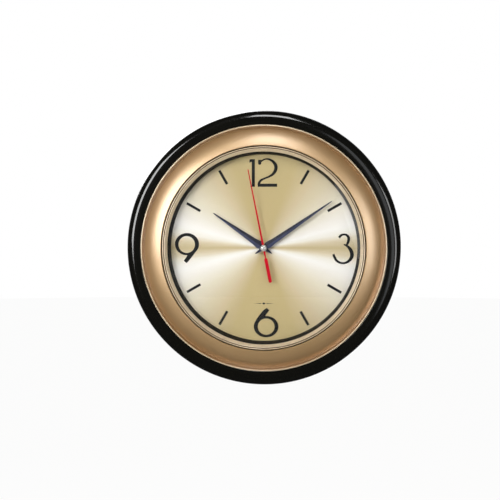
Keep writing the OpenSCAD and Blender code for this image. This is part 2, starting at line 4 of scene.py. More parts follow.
import bmesh
import bpy
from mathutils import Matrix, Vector


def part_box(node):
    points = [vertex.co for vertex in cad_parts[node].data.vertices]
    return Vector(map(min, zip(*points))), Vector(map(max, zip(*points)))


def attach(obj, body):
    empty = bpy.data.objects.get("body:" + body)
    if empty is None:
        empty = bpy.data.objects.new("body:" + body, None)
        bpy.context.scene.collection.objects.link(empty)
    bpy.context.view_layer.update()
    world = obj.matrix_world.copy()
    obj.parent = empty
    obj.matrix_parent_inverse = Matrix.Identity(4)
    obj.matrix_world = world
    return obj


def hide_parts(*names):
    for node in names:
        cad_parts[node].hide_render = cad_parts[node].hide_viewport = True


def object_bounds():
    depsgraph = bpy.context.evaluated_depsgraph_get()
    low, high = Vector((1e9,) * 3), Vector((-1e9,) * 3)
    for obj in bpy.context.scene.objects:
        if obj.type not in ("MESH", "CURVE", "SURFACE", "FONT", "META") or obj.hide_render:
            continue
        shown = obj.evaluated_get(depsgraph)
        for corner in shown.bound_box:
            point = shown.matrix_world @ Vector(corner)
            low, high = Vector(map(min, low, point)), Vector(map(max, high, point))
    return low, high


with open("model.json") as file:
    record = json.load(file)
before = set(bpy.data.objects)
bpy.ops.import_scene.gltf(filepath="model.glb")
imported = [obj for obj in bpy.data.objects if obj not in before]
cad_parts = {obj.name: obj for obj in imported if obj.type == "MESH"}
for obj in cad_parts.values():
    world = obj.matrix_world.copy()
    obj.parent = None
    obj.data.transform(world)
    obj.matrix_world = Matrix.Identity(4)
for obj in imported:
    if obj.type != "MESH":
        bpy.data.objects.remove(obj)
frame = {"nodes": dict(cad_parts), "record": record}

MM = 0.001
cad_lo, cad_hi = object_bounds()
NODES = frame["nodes"]
BODY_OF = {n: b for b, names in frame["record"]["behaviour"]["bodies"].items() for n in names}
SLOT_OF = {s["node"]: s["material_slot"] for s in frame["record"]["subparts"]}


def cbox(node):
    """The node's box in clock space, in mm: x right, y up, z from the wall towards the viewer."""
    lo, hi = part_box(node)
    return (lo.x / MM, lo.z / MM, -hi.y / MM), (hi.x / MM, hi.z / MM, -lo.y / MM)


def row(x, y, z):
    return Vector((x * MM, -z * MM, y * MM))


# ------------------------------------------------------------------ node helpers
class Net:
    """A small wrapper for building node trees."""

    def __init__(self, tree):
        self.t = tree
        tree.nodes.clear()

    def add(self, kind, **props):
        n = self.t.nodes.new(kind)
        for k, v in props.items():
            setattr(n, k, v)
        return n

    def link(self, a, b):
        self.t.links.new(a, b)

    def math(self, op, a, b=None, c=None, clamp=False):
        n = self.add("ShaderNodeMath", operation=op, use_clamp=clamp)
        for i, v in enumerate((a, b, c)):
            if v is None:
                continue
            if isinstance(v, (int, float)):
                n.inputs[i].default_value = v
            else:
                self.link(v, n.inputs[i])
        return n.outputs[0]

    def vmath(self, op, a, b=None, scale=None):
        n = self.add("ShaderNodeVectorMath", operation=op)
        for i, v in enumerate((a, b)):
            if v is None:
                continue
            if isinstance(v, (tuple, Vector)):
                n.inputs[i].default_value = v
            else:
                self.link(v, n.inputs[i])
        if scale is not None:
            n.inputs["Scale"].default_value = scale
        return n.outputs["Value"] if op in ("LENGTH", "DOT_PRODUCT", "DISTANCE") else n.outputs[0]

    def noise(self, vec, scale, detail=3.0, rough=0.5, distortion=0.0):
        n = self.add("ShaderNodeTexNoise")
        n.inputs["Scale"].default_value = scale
        n.inputs["Detail"].default_value = detail
        n.inputs["Roughness"].default_value = rough
        n.inputs["Distortion"].default_value = distortion
        self.link(vec, n.inputs["Vector"])
        return n.outputs[0]

    def remap(self, v, a, b, c, d, clamp=True):
        n = self.add("ShaderNodeMapRange", clamp=clamp)
        for i, x in enumerate((a, b, c, d)):
            n.inputs[i + 1].default_value = x
        self.link(v, n.inputs[0])
        return n.outputs[0]

    def ramp(self, v, stops, interpolation="LINEAR"):
        n = self.add("ShaderNodeValToRGB")
        r = n.color_ramp
        r.interpolation = interpolation
        while len(r.elements) > 1:
            r.elements.remove(r.elements[-1])
        r.elements[0].position = stops[0][0]
        r.elements[0].color = (*stops[0][1], 1)
        for p, c in stops[1:]:
            e = r.elements.new(p)
            e.color = (*c, 1)
        self.link(v, n.inputs[0])
        return n.outputs[0]

    def mix(self, fac, a, b, blend="MIX"):
        n = self.add("ShaderNodeMix", data_type="RGBA", blend_type=blend)
        for sock, v in ((n.inputs[0], fac), (n.inputs[6], a), (n.inputs[7], b)):
            if isinstance(v, (int, float)):
                sock.default_value = v
            elif isinstance(v, tuple):
                sock.default_value = (*v, 1)
            else:
                self.link(v, sock)
        return n.outputs[2]

    def bump(self, height, strength, distance, normal=None):
        n = self.add("ShaderNodeBump")
        n.inputs["Strength"].default_value = strength
        n.inputs["Distance"].default_value = distance
        self.link(height, n.inputs["Height"])
        if normal is not None:
            self.link(normal, n.inputs["Normal"])
        return n.outputs[0]


def lin(r, g, b):
    """sRGB 0-255 to linear."""
    return tuple((c / 12.92 if c <= 0.04045 else ((c + 0.055) / 1.055) ** 2.4) for c in (r / 255, g / 255, b / 255))


def shade(c, k):
    return tuple(min(1.0, x * k) for x in c)


def new_mat(name, **const):
    m = bpy.data.materials.new(name)
    m.use_nodes = True
    net = Net(m.node_tree)
    out = net.add("ShaderNodeOutputMaterial")
    p = net.add("ShaderNodeBsdfPrincipled")
    net.link(p.outputs[0], out.inputs[0])
    for k, v in const.items():
        p.inputs[k.replace("_", " ")].default_value = v
    return m, net, p, out


def coords(net):
    return net.add("ShaderNodeTexCoord").outputs["Object"]


def polar(net, vec):
    """Clock-face polar coordinates of a point: radius in metres, and the unit direction (cos, sin) as a vector."""
    s = net.add("ShaderNodeSeparateXYZ")
    net.link(vec, s.inputs[0])
    c = net.add("ShaderNodeCombineXYZ")
    net.link(s.outputs[0], c.inputs[0])
    net.link(s.outputs[2], c.inputs[1])
    r = net.vmath("LENGTH", c.outputs[0])
    d = net.add("ShaderNodeVectorMath", operation="NORMALIZE")
    net.link(c.outputs[0], d.inputs[0])
    return s, r, d.outputs[0]


def moulded(name, col, rough=0.42, spark=0.25, spark_scale=2600, var=0.12, dust=0.0, **const):
    """Moulded plastic: spark-eroded grain, slow colour drift, uneven sheen, and a little dust."""
    m, net, p, _ = new_mat(name, **const)
    v = coords(net)
    slow = net.noise(v, 22, 4, 0.6)
    fine = net.noise(v, spark_scale, 2, 0.6)
    flow = net.noise(v, 160, 3, 0.55)
    c = net.mix(net.remap(slow, 0.3, 0.7, 0, 1), shade(col, 1 - var), shade(col, 1 + var))
    if dust:
        spots = net.noise(v, 900, 5, 0.7)
        c = net.mix(net.math("MULTIPLY", net.remap(spots, 0.6, 0.8, 0, dust), net.remap(slow, 0.35, 0.65, 0.2, 1)), c, (0.28, 0.27, 0.25))
    net.link(c, p.inputs["Base Color"])
    r = net.math("ADD", net.remap(flow, 0.3, 0.7, rough - 0.05, rough + 0.05), net.remap(fine, 0.3, 0.7, -0.03, 0.03))
    net.link(r, p.inputs["Roughness"])
    net.link(net.bump(fine, spark, 0.00004, net.bump(flow, 0.08, 0.0001)), p.inputs["Normal"])
    return m


def metal(name, col, rough=0.3, stretch=(1, 1, 1), scale=1500, lines=0.12, var=0.08, **const):
    """Bare or plated metal: drawn or ground lines along one direction, faint stains, uneven polish."""
    m, net, p, _ = new_mat(name, Metallic=1.0, **const)
    v = coords(net)
    s = net.vmath("MULTIPLY", v, stretch)
    grind = net.noise(s, scale, 3, 0.65)
    stain = net.noise(v, 70, 5, 0.6)
    scratch = net.remap(net.noise(s, scale * 0.35, 6, 0.75), 0.66, 0.7, 0, 1)
    c = net.mix(net.remap(stain, 0.3, 0.75, 0, 1), shade(col, 1 - var), shade(col, 1 + var))
    c = net.mix(net.math("MULTIPLY", scratch, 0.25), c, shade(col, 1.35))
    net.link(c, p.inputs["Base Color"])
    r = net.math("ADD", net.remap(stain, 0.3, 0.7, rough - 0.05, rough + 0.07), net.remap(grind, 0.3, 0.7, -0.05, 0.05))
    net.link(r, p.inputs["Roughness"])
    net.link(net.bump(grind, lines, 0.00002, net.bump(stain, 0.05, 0.0001)), p.inputs["Normal"])
    return m


# ------------------------------------------------------------------ materials
def piano_black():
    m, net, p, _ = new_mat("piano_black", Metallic=0.0)
    p.inputs["IOR"].default_value = 1.52
    p.inputs["Coat Weight"].default_value = 0.7
    p.inputs["Coat Roughness"].default_value = 0.045
    p.inputs["Coat IOR"].default_value = 1.55
    v = coords(net)
    slow = net.noise(v, 14, 3, 0.5)
    peel = net.noise(v, 260, 2, 0.45)
    hair = net.vmath("MULTIPLY", v, (1.0, 1.0, 14.0))
    swirl = net.remap(net.noise(hair, 420, 7, 0.8, 0.4), 0.66, 0.7, 0, 1)
    base = net.mix(net.remap(slow, 0.3, 0.7, 0, 1), (0.0022, 0.002, 0.0006), (0.003, 0.0028, 0.0011))
    net.link(base, p.inputs["Base Color"])
    net.link(net.math("ADD", net.remap(slow, 0.3, 0.7, 0.1, 0.15), net.math("MULTIPLY", swirl, 0.05)), p.inputs["Roughness"])
    net.link(net.bump(peel, 0.012, 0.0002), p.inputs["Normal"])
    return m


def plated(name, low, high, rough, ring_lines, sand, flake, coat, coat_ior, coat_rough, painted_outer_shade=False):
    """Champagne pearl finish on a moulded ring: concentric lines of the tool, fine satin blast, slow drift of tone,
    clear lacquer. With painted_outer_shade the base colour darkens towards the outer edge as painted shade of the
    outward slope.
    """
    m, net, p, _ = new_mat(name, Metallic=flake)
    p.inputs["Coat Weight"].default_value = coat
    p.inputs["Coat Roughness"].default_value = coat_rough
    p.inputs["Coat IOR"].default_value = coat_ior
    v = coords(net)
    s, r, d = polar(net, v)
    slow = net.noise(v, 9, 3, 0.5)
    blast = net.noise(v, 3200, 2, 0.6)
    rings = net.add("ShaderNodeCombineXYZ")
    net.link(net.math("MULTIPLY", r, 1.0), rings.inputs[0])
    net.link(s.outputs[1], rings.inputs[1])
    turn = net.noise(rings.outputs[0], 2600, 3, 0.6)
    smudge = net.noise(v, 45, 4, 0.62)
    c = net.mix(net.remap(slow, 0.32, 0.68, 0, 1), low, high)
    c = net.mix(net.remap(smudge, 0.55, 0.8, 0, 0.18), c, shade(low, 0.86))
    if painted_outer_shade:
        # painted shade: the base colour is darkened from the inner edge out to the rim, where the ring slopes away from
        # the lamps
        c = net.mix(1.0, c, net.ramp(net.remap(r, 0.1125, 0.1315, 0, 1), [(0.0, (1.0, 1.0, 1.0)), (0.35, (0.94, 0.93, 0.91)), (0.75, (0.76, 0.72, 0.66)), (1.0, (0.6, 0.54, 0.46))]), "MULTIPLY")
    net.link(c, p.inputs["Base Color"])
    rr = net.math("ADD", net.remap(smudge, 0.3, 0.75, rough - 0.03, rough + 0.05), net.remap(blast, 0.3, 0.7, -0.025, 0.025))
    net.link(rr, p.inputs["Roughness"])
    net.link(net.bump(turn, ring_lines, 0.00002, net.bump(blast, sand, 0.00003)), p.inputs["Normal"])
    return m


DIAL_TONE_AND_SHEEN_STOPS = [  # angle from the vertical in degrees, colour: the dial's gold with a painted sunray highlight, white near 75 degrees
    (0, (196, 178, 129)), (20, (196, 178, 129)), (25, (200, 182, 138)), (30, (205, 189, 148)), (35, (212, 195, 160)),
    (40, (216, 203, 171)), (45, (221, 210, 180)), (50, (227, 217, 193)), (55, (232, 225, 203)), (60, (238, 232, 216)),
    (65, (243, 239, 228)), (70, (249, 246, 240)), (75, (254, 253, 250)), (80, (246, 243, 234)), (85, (221, 208, 178)),
    (90, (200, 182, 139))]
DIAL_GAIN = 1.0


def dial_sheet():
    """A sunray-finished dial: its gold base colour carries a painted sunray highlight that runs round the axis, under
    fine rays of brushing that all start at the centre.
    """
    m, net, p, _ = new_mat("sunray_champagne_painted_sheen", Metallic=0.0)
    p.inputs["Coat Weight"].default_value = 0.12
    p.inputs["Coat Roughness"].default_value = 0.25
    p.inputs["IOR"].default_value = 1.35
    v = coords(net)
    s, r, d = polar(net, v)
    ax = net.math("ABSOLUTE", s.outputs[0])
    az = net.math("ABSOLUTE", s.outputs[2])
    a = net.math("DIVIDE", net.math("ARCTAN2", ax, az), math.pi / 2)
    rays = net.add("ShaderNodeCombineXYZ")
    ds = net.add("ShaderNodeSeparateXYZ")
    net.link(d, ds.inputs[0])
    net.link(ds.outputs[0], rays.inputs[0])
    net.link(ds.outputs[1], rays.inputs[1])
    net.link(net.math("MULTIPLY", r, 1.2), rays.inputs[2])
    ray = net.noise(rays.outputs[0], 260, 3, 0.7)
    wide = net.noise(rays.outputs[0], 34, 3, 0.6)
    jitter = net.math("ADD", a, net.remap(wide, 0.3, 0.7, -0.006, 0.006))
    # painted highlight: the sunray sheen is painted into the base colour by angle round the axis, brightest either side
    # of 3 and 9 o'clock
    tone_and_sheen = net.ramp(jitter, [(k / 90, shade(lin(*c), DIAL_GAIN)) for k, c in DIAL_TONE_AND_SHEEN_STOPS])
    tone_and_sheen = net.mix(net.remap(ray, 0.35, 0.7, 0, 0.16), tone_and_sheen, shade(lin(196, 180, 132), DIAL_GAIN), "MIX")
    net.link(tone_and_sheen, p.inputs["Base Color"])
    net.link(net.remap(ray, 0.3, 0.7, 0.42, 0.56), p.inputs["Roughness"])
    net.link(net.bump(ray, 0.05, 0.00003), p.inputs["Normal"])
    return m


def dial_ink():
    m, net, p, _ = new_mat("dial_ink", Metallic=0.0)
    v = coords(net)
    n1 = net.noise(v, 1800, 3, 0.6)
    n2 = net.noise(v, 60, 3, 0.5)
    net.link(net.mix(net.remap(n2, 0.3, 0.7, 0, 1), (0.0045, 0.0045, 0.0058), (0.0065, 0.0065, 0.008)), p.inputs["Base Color"])
    p.inputs["Specular IOR Level"].default_value = 0.2
    net.link(net.remap(n1, 0.3, 0.7, 0.42, 0.55), p.inputs["Roughness"])
    net.link(net.bump(n1, 0.12, 0.00002), p.inputs["Normal"])
    return m


def lacquered_hand(name, low, high, rough, deg, flake=0.2, coat=0.3, gloss=0.5):
    """Lacquer over brushed aluminium: the brushing runs along the hand."""
    m, net, p, _ = new_mat(name, Metallic=flake)
    p.inputs["Coat Weight"].default_value = coat
    p.inputs["Coat Roughness"].default_value = 0.16
    p.inputs["Specular IOR Level"].default_value = gloss
    v = coords(net)
    rot = net.add("ShaderNodeMapping", vector_type="POINT")
    rot.inputs["Rotation"].default_value = (0, math.radians(deg), 0)
    net.link(v, rot.inputs[0])
    s = net.vmath("MULTIPLY", rot.outputs[0], (1.0, 1.0, 0.03))
    brush = net.noise(s, 5200, 3, 0.65)
    slow = net.noise(v, 90, 3, 0.5)
    net.link(net.mix(net.remap(slow, 0.3, 0.7, 0, 1), low, high), p.inputs["Base Color"])
    net.link(net.math("ADD", net.remap(brush, 0.3, 0.7, rough - 0.06, rough + 0.06), net.remap(slow, 0.3, 0.7, -0.02, 0.02)), p.inputs["Roughness"])
    net.link(net.bump(brush, 0.07, 0.00002), p.inputs["Normal"])
    return m


def clear_glass():
    """Flat mineral glass: it bends light for the eye, and lamps reach what is behind it."""
    m, net, p, out = new_mat("clear_glass", Metallic=0.0)
    p.inputs["Base Color"].default_value = (1.0, 0.998, 0.99, 1)
    p.inputs["Transmission Weight"].default_value = 1.0
    p.inputs["IOR"].default_value = 1.5
    p.inputs["Roughness"].default_value = 0.0
    lp = net.add("ShaderNodeLightPath")
    clear = net.add("ShaderNodeBsdfTransparent")
    clear.inputs[0].default_value = (0.965, 0.965, 0.962, 1)
    mix = net.add("ShaderNodeMixShader")
    net.link(lp.outputs["Is Shadow Ray"], mix.inputs[0])
    net.link(p.outputs[0], mix.inputs[1])
    net.link(clear.outputs[0], mix.inputs[2])
    net.link(mix.outputs[0], out.inputs[0])
    return m


def copper_wire():
    m, net, p, _ = new_mat("enamelled_copper", Metallic=1.0)
    p.inputs["Coat Weight"].default_value = 0.5
    p.inputs["Coat Roughness"].default_value = 0.2
    v = coords(net)
    w = net.add("ShaderNodeTexWave", bands_direction="X")
    w.inputs["Scale"].default_value = 1900
    w.inputs["Distortion"].default_value = 0.5
    net.link(v, w.inputs[0])
    net.link(net.mix(w.outputs["Factor" if "Factor" in w.outputs else 1], (0.33, 0.11, 0.045), (0.62, 0.24, 0.1)), p.inputs["Base Color"])
    p.inputs["Roughness"].default_value = 0.32
    net.link(net.bump(w.outputs[1], 0.5, 0.00006), p.inputs["Normal"])
    return m


def battery_wrap():
    """Shrink sleeve of a plain cell: graphite body, a pale band and a thin green line at the plus end, no lettering."""
    lo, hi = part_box("battery_sleeve")
    m, net, p, _ = new_mat("battery_wrap", Metallic=0.25)
    p.inputs["Coat Weight"].default_value = 0.5
    p.inputs["Coat Roughness"].default_value = 0.12
    v = coords(net)
    s = net.add("ShaderNodeSeparateXYZ")
    net.link(v, s.inputs[0])
    t = net.remap(s.outputs[0], lo.x, hi.x, 0, 1)
    band = net.ramp(t, [(0.0, (0.03, 0.036, 0.045)), (0.7, (0.045, 0.055, 0.07)), (0.702, (0.02, 0.22, 0.1)), (0.725, (0.02, 0.22, 0.1)),
                        (0.727, (0.55, 0.56, 0.57)), (1.0, (0.62, 0.63, 0.64))], "LINEAR")
    scuff = net.noise(v, 380, 6, 0.75)
    net.link(net.mix(net.remap(scuff, 0.64, 0.72, 0, 0.35), band, (0.35, 0.36, 0.37)), p.inputs["Base Color"])
    net.link(net.remap(scuff, 0.3, 0.75, 0.2, 0.42), p.inputs["Roughness"])
    net.link(net.bump(net.noise(v, 120, 3, 0.5), 0.08, 0.0001), p.inputs["Normal"])
    return m


def board():
    m, net, p, _ = new_mat("solder_mask", Metallic=0.0)
    p.inputs["Coat Weight"].default_value = 0.4
    v = coords(net)
    weave = net.add("ShaderNodeTexChecker")
    weave.inputs["Scale"].default_value = 2400
    net.link(v, weave.inputs[0])
    vor = net.add("ShaderNodeTexVoronoi", feature="DISTANCE_TO_EDGE")
    vor.inputs["Scale"].default_value = 420
    net.link(v, vor.inputs["Vector"])
    track = net.remap(vor.outputs[0], 0.05, 0.07, 1, 0)
    net.link(net.mix(net.math("MULTIPLY", track, 0.6), (0.012, 0.09, 0.03), (0.03, 0.2, 0.07)), p.inputs["Base Color"])
    p.inputs["Roughness"].default_value = 0.3
    net.link(net.bump(track, 0.3, 0.00004, net.bump(weave.outputs[1], 0.1, 0.00001)), p.inputs["Normal"])
    return m


MAT = {
    "black_gloss": piano_black(),
    # the wide ring's base colour carries painted shade towards its outer edge
    "champagne_plating": plated("satin_champagne", (0.76, 0.47, 0.2), (0.83, 0.53, 0.24), 0.38, 0.03, 0.08, 0.48, 1.0, 2.05, 0.3, painted_outer_shade=True),
    "bright_gold_plating": plated("polished_champagne", (0.78, 0.55, 0.32), (0.86, 0.63, 0.39), 0.24, 0.0015, 0.002, 0.55, 1.0, 1.8, 0.14),
    "clear_glass": clear_glass(),
    # painted highlight: a lighter, less metallic copy of the champagne plating for the lip line and the bead tops
    "lip": plated("lip_painted_highlight", (0.96, 0.76, 0.5), (1.0, 0.82, 0.56), 0.26, 0.0, 0.002, 0.15, 1.0, 1.8, 0.2),
    # painted shade: a near-black bronze copy of the plating for the grooves between and beside the beads
    "bead_groove_painted_shade": plated("groove_painted_shade", (0.16, 0.075, 0.026), (0.21, 0.1, 0.038), 0.4, 0.01, 0.02, 0.5, 0.3, 1.5, 0.3),
    "deep_black": moulded("flat_black", (0.0028, 0.0028, 0.0028), 0.6, 0.2, dust=0.0, Specular_IOR_Level=0.12),
    "matt_black": moulded("satin_black", (0.016, 0.016, 0.0165), 0.46, 0.22, dust=0.1),
    "sunray_dial": dial_sheet(),
    "dial_print": dial_ink(),
    "zinc_screw": metal("zinc_screw", (0.6, 0.61, 0.64), 0.28, (1, 1, 1), 1800, 0.1),
    "hanger_steel": metal("hanger_steel", (0.55, 0.56, 0.58), 0.34, (0.06, 1, 1), 1400, 0.16),
    "silver_cap": metal("silver_cap", (0.72, 0.72, 0.73), 0.27, (1, 1, 1), 2200, 0.05, var=0.03),
    "navy_hand": lacquered_hand("navy_lacquer", lin(24, 27, 46), lin(30, 34, 56), 0.36, 0),
    "red_hand": lacquered_hand("red_lacquer", lin(192, 0, 28), lin(204, 0, 34), 0.5, 0, 0.0, 0.0, 0.12),
    "movement_black": moulded("movement_black", (0.034, 0.034, 0.036), 0.5, 0.45, 1900, dust=0.12),
    "knob_black": moulded("knob_acetal", (0.012, 0.012, 0.0125), 0.36, 0.12, dust=0.05),
    "gear_acetal": moulded("gear_acetal", (0.72, 0.71, 0.66), 0.4, 0.1, var=0.05),
    "gear_brass": metal("gear_brass", (0.8, 0.58, 0.25), 0.26, (1, 1, 1), 2000, 0.12),
    "arbor_steel": metal("arbor_steel", (0.62, 0.63, 0.66), 0.16, (1, 0.1, 1), 2600, 0.06),
    "magnet": moulded("sintered_magnet", (0.1, 0.1, 0.105), 0.38, 0.5, 1400, Metallic=0.7),
    "silicon_steel": metal("silicon_steel", (0.42, 0.44, 0.47), 0.33, (0.1, 1, 1), 1500, 0.14),
    "copper_wire": copper_wire(),
    "bobbin_nylon": moulded("bobbin_nylon", (0.74, 0.71, 0.6), 0.45, 0.15, var=0.05),
    "board_green": board(),
    "chip_resin": moulded("chip_resin", (0.006, 0.006, 0.006), 0.22, 0.06, 600),
    "crystal_can": metal("crystal_can", (0.7, 0.7, 0.71), 0.2, (0.05, 1, 1), 2000, 0.06),
    "contact_nickel": metal("contact_nickel", (0.68, 0.65, 0.58), 0.25, (0.08, 1, 1), 1700, 0.1),
    "battery_metal": metal("battery_metal", (0.66, 0.67, 0.69), 0.24, (1, 1, 1), 1500, 0.08),
    "battery_wrap": battery_wrap(),
}


# ------------------------------------------------------------------ mesh helpers
def fillets(points, n=6):
    """A closed outline of (r, z) or (r, z, radius) corners, with each radius turned into an arc tangent to both sides."""
    out = []
    m = len(points)
    for i, p in enumerate(points):
        rad = p[2] if len(p) > 2 else 0
        a, b, c = Vector(points[i - 1][:2]), Vector(p[:2]), Vector(points[(i + 1) % m][:2])
        if rad <= 0:
            out.append((b.x, b.y))
            continue
        u, v = (a - b), (c - b)
        lu, lv = u.length, v.length
        u.normalize()
        v.normalize()
        half = math.acos(max(-1, min(1, u.dot(v)))) / 2
        if half > math.pi / 2 - 0.01:
            out.append((b.x, b.y))
            continue
        t = min(rad / math.tan(half), lu * 0.48, lv * 0.48)
        rr = t * math.tan(half)
        centre = b + (u + v).normalized() * (rr / math.sin(half))
        s, e = b + u * t - centre, b + v * t - centre
        a0, a1 = math.atan2(s.y, s.x), math.atan2(e.y, e.x)
        while a1 - a0 > math.pi:
            a1 -= 2 * math.pi
        while a1 - a0 < -math.pi:
            a1 += 2 * math.pi
        for k in range(n + 1):
            w = a0 + (a1 - a0) * k / n
            out.append((centre.x + rr * math.cos(w), centre.y + rr * math.sin(w)))
    return out


def arc(cx, cy, r, a0, a1, n):
    return [(cx + r * math.cos(math.radians(a0 + (a1 - a0) * k / n)), cy + r * math.sin(math.radians(a0 + (a1 - a0) * k / n))) for k in range(n + 1)]


def lathe_into(bm, profile, n=256, centre=(0.0, 0.0), closed=True):
    """Revolves an (r, z) outline in mm round the axis through centre, facing the viewer. A point at r = 0 becomes a pole."""
    rings = []
    for r, z in profile:
        if r < 1e-6:
            rings.append([bm.verts.new(row(centre[0], centre[1], z))])
        else:
            rings.append([bm.verts.new(row(centre[0] + r * math.cos(2 * math.pi * k / n), centre[1] + r * math.sin(2 * math.pi * k / n), z)) for k in range(n)])
    count = len(rings) if closed else len(rings) - 1
    for i in range(count):
        a, b = rings[i], rings[(i + 1) % len(rings)]
        for k in range(n):
            q = (k + 1) % n
            if len(a) == 1 and len(b) == 1:
                continue
            if len(a) == 1:
                bm.faces.new((a[0], b[q], b[k]))
            elif len(b) == 1:
                bm.faces.new((a[k], a[q], b[0]))
            else:
                bm.faces.new((a[k], a[q], b[q], b[k]))


def make(name, bm, mat, sharp=38):
    bmesh.ops.recalc_face_normals(bm, faces=bm.faces)
    me = bpy.data.meshes.new(name)
    bm.to_mesh(me)
    bm.free()
    me.polygons.foreach_set("use_smooth", [True] * len(me.polygons))
    me.set_sharp_from_angle(angle=math.radians(sharp))
    me.materials.append(mat)
    ob = bpy.data.objects.new(name, me)
    bpy.context.scene.collection.objects.link(ob)
    return ob


def stand_for(ob, node):
    """The piece takes the node's body and its place in the picture, and the node is hidden."""
    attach(ob, BODY_OF[node])
    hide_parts(node)
    return ob


def baked(ob):
    """The object's modifiers turned into its mesh."""
    dg = bpy.context.evaluated_depsgraph_get()
    me = bpy.data.meshes.new_from_object(ob.evaluated_get(dg))
    old = ob.data
    ob.modifiers.clear()
    ob.data = me
    bpy.data.meshes.remove(old)
    return ob


def softened(node, name, width, segments=2, angle=34, mat=None, sharp=50):
    """The node's own shape with its hard edges rounded, as moulding or stamping leaves them."""
    me = NODES[node].data.copy()
    for a in ("custom_normal",):
        if a in me.attributes:
            me.attributes.remove(me.attributes[a])
    bm = bmesh.new()
    bm.from_mesh(me)
    bmesh.ops.remove_doubles(bm, verts=bm.verts, dist=4e-6)
    bmesh.ops.dissolve_limit(bm, angle_limit=math.radians(0.6), verts=bm.verts, edges=bm.edges, delimit=set())
    bmesh.ops.recalc_face_normals(bm, faces=bm.faces)
    bm.to_mesh(me)
    bm.free()
    ob = bpy.data.objects.new(name, me)
    bpy.context.scene.collection.objects.link(ob)
    me.materials.clear()
    me.materials.append(mat or MAT[SLOT_OF[node]])
    b = ob.modifiers.new("round", "BEVEL")
    b.width = width * MM
    b.segments = segments
    b.limit_method = "ANGLE"
    b.angle_limit = math.radians(angle)
    b.use_clamp_overlap = True
    b.harden_normals = False
    baked(ob)
    me = ob.data
    me.polygons.foreach_set("use_smooth", [True] * len(me.polygons))
    me.set_sharp_from_angle(angle=math.radians(sharp))
    w = ob.modifiers.new("even", "WEIGHTED_NORMAL")
    w.keep_sharp = True
    baked(ob)
    return stand_for(ob, node)


# ------------------------------------------------------------------ case, rings, glass, dial
def build_outer_frame():
    (_, _, z0), (case_r, _, front) = cbox("outer_frame")
    gold_out = cbox("gold_ring")[1][0]
    ledge = cbox("gold_ring")[0][2]
    wall, sh = 2.4, 8.0
    cx, cz = case_r - sh, front - sh
    seat = gold_out + 0.2
    pts = [(107.0, ledge - wall, 0.3), (107.0, ledge, 0.4), (seat, ledge, 0.3), (seat, front - 0.03, 0.35)]
    outline = fillets(pts + [(cx, front)], 5)[: -1]
    outline += arc(cx, cz, sh, 90, 0, 40)
    outline += [(case_r, 26.0), (case_r, 24.3), (case_r - 0.06, 23.6), (case_r - 0.8, 12.0), (case_r - 1.6, 6.5)]
    outline += fillets([(case_r - 1.6, 6.5), (case_r - 2.6, z0, 0.7), (case_r - 5.1, z0, 0.7), (case_r - 3.2, 12.0)], 5)[1:-1]
    outline += [(case_r - 3.2, 12.0), (case_r - wall, 24.0), (case_r - wall, cz)]
    outline += arc(cx, cz, sh - wall, 0, 90, 16)[1:]
    outline += fillets([(cx, front - wall), (gold_out + 2.6, front - wall - 0.2, 0.8), (gold_out + 2.6, ledge - wall, 0.5), (107.0, ledge - wall)], 4)[1:-1]
    bm = bmesh.new()
    lathe_into(bm, outline, 320)
    tray = cbox("dial_tray")[1][2]
    for i in range(6):
        a = math.radians(60 * i)
        lathe_into(bm, fillets([(1.45, tray, 0.15), (4.0, tray, 0.3), (4.0, ledge - wall + 0.3), (1.45, ledge - wall + 0.3)], 3), 40,
                   (131 * math.cos(a), 131 * math.sin(a)))
    return stand_for(make("case_ring", bm, MAT["black_gloss"]), "outer_frame")


def build_gold_ring():
    (_, _, base), (gold_out, _, top) = cbox("gold_ring")
    R = 48.8
    cx = 104.9
    cz = top - math.sqrt(R * R - 6.8 * 6.8)
    inn = 111.7
    crown = []
    r = inn + 0.6
    while r < 130.9:
        crown.append((r, cz + math.sqrt(R * R - (r - cx) ** 2)))
        r += 0.45
    lip = gold_out - 1.1
    lipz = base + 4.1
    outline = fillets([(inn, base, 0.2), (inn, top - 0.55, 0.3), crown[0]], 4)[:-1]
    outline += crown
    g = crown[-1]
    outline += fillets([crown[-2], (131.35, g[1] - 0.22, 0.5), (131.75, lipz - 1.7, 0.3), (lip - 1.1, lipz)], 5)[1:-1]
    outline += arc(lip, lipz, 1.1, 180, 0, 18)
    outline += [(gold_out, base)]
    inner = []
    r = 128.0
    while r > inn + 2.0:
        inner.append((r, max(base + 0.05, cz + math.sqrt((R - 2) ** 2 - (r - cx) ** 2))))
        r -= 1.0
    outline += [(inner[0][0] + 0.4, base)] + inner + [(inn + 2.0, inner[-1][1]), (inn + 2.0, base)]
    bm = bmesh.new()
    lathe_into(bm, outline, 320)
    ob = make("wide_gold_ring", bm, MAT["champagne_plating"])
    ob.data.materials.append(MAT["lip"])
    # the top of the outer lip takes the lighter lip material: a painted highlight line
    for f in ob.data.polygons:
        c = f.center
        if (lip - 0.35) * MM < math.hypot(c.x, c.z) < (lip + 0.95) * MM and -c.y > (lipz + 0.3) * MM:
            f.material_index = 1
    return stand_for(ob, "gold_ring")


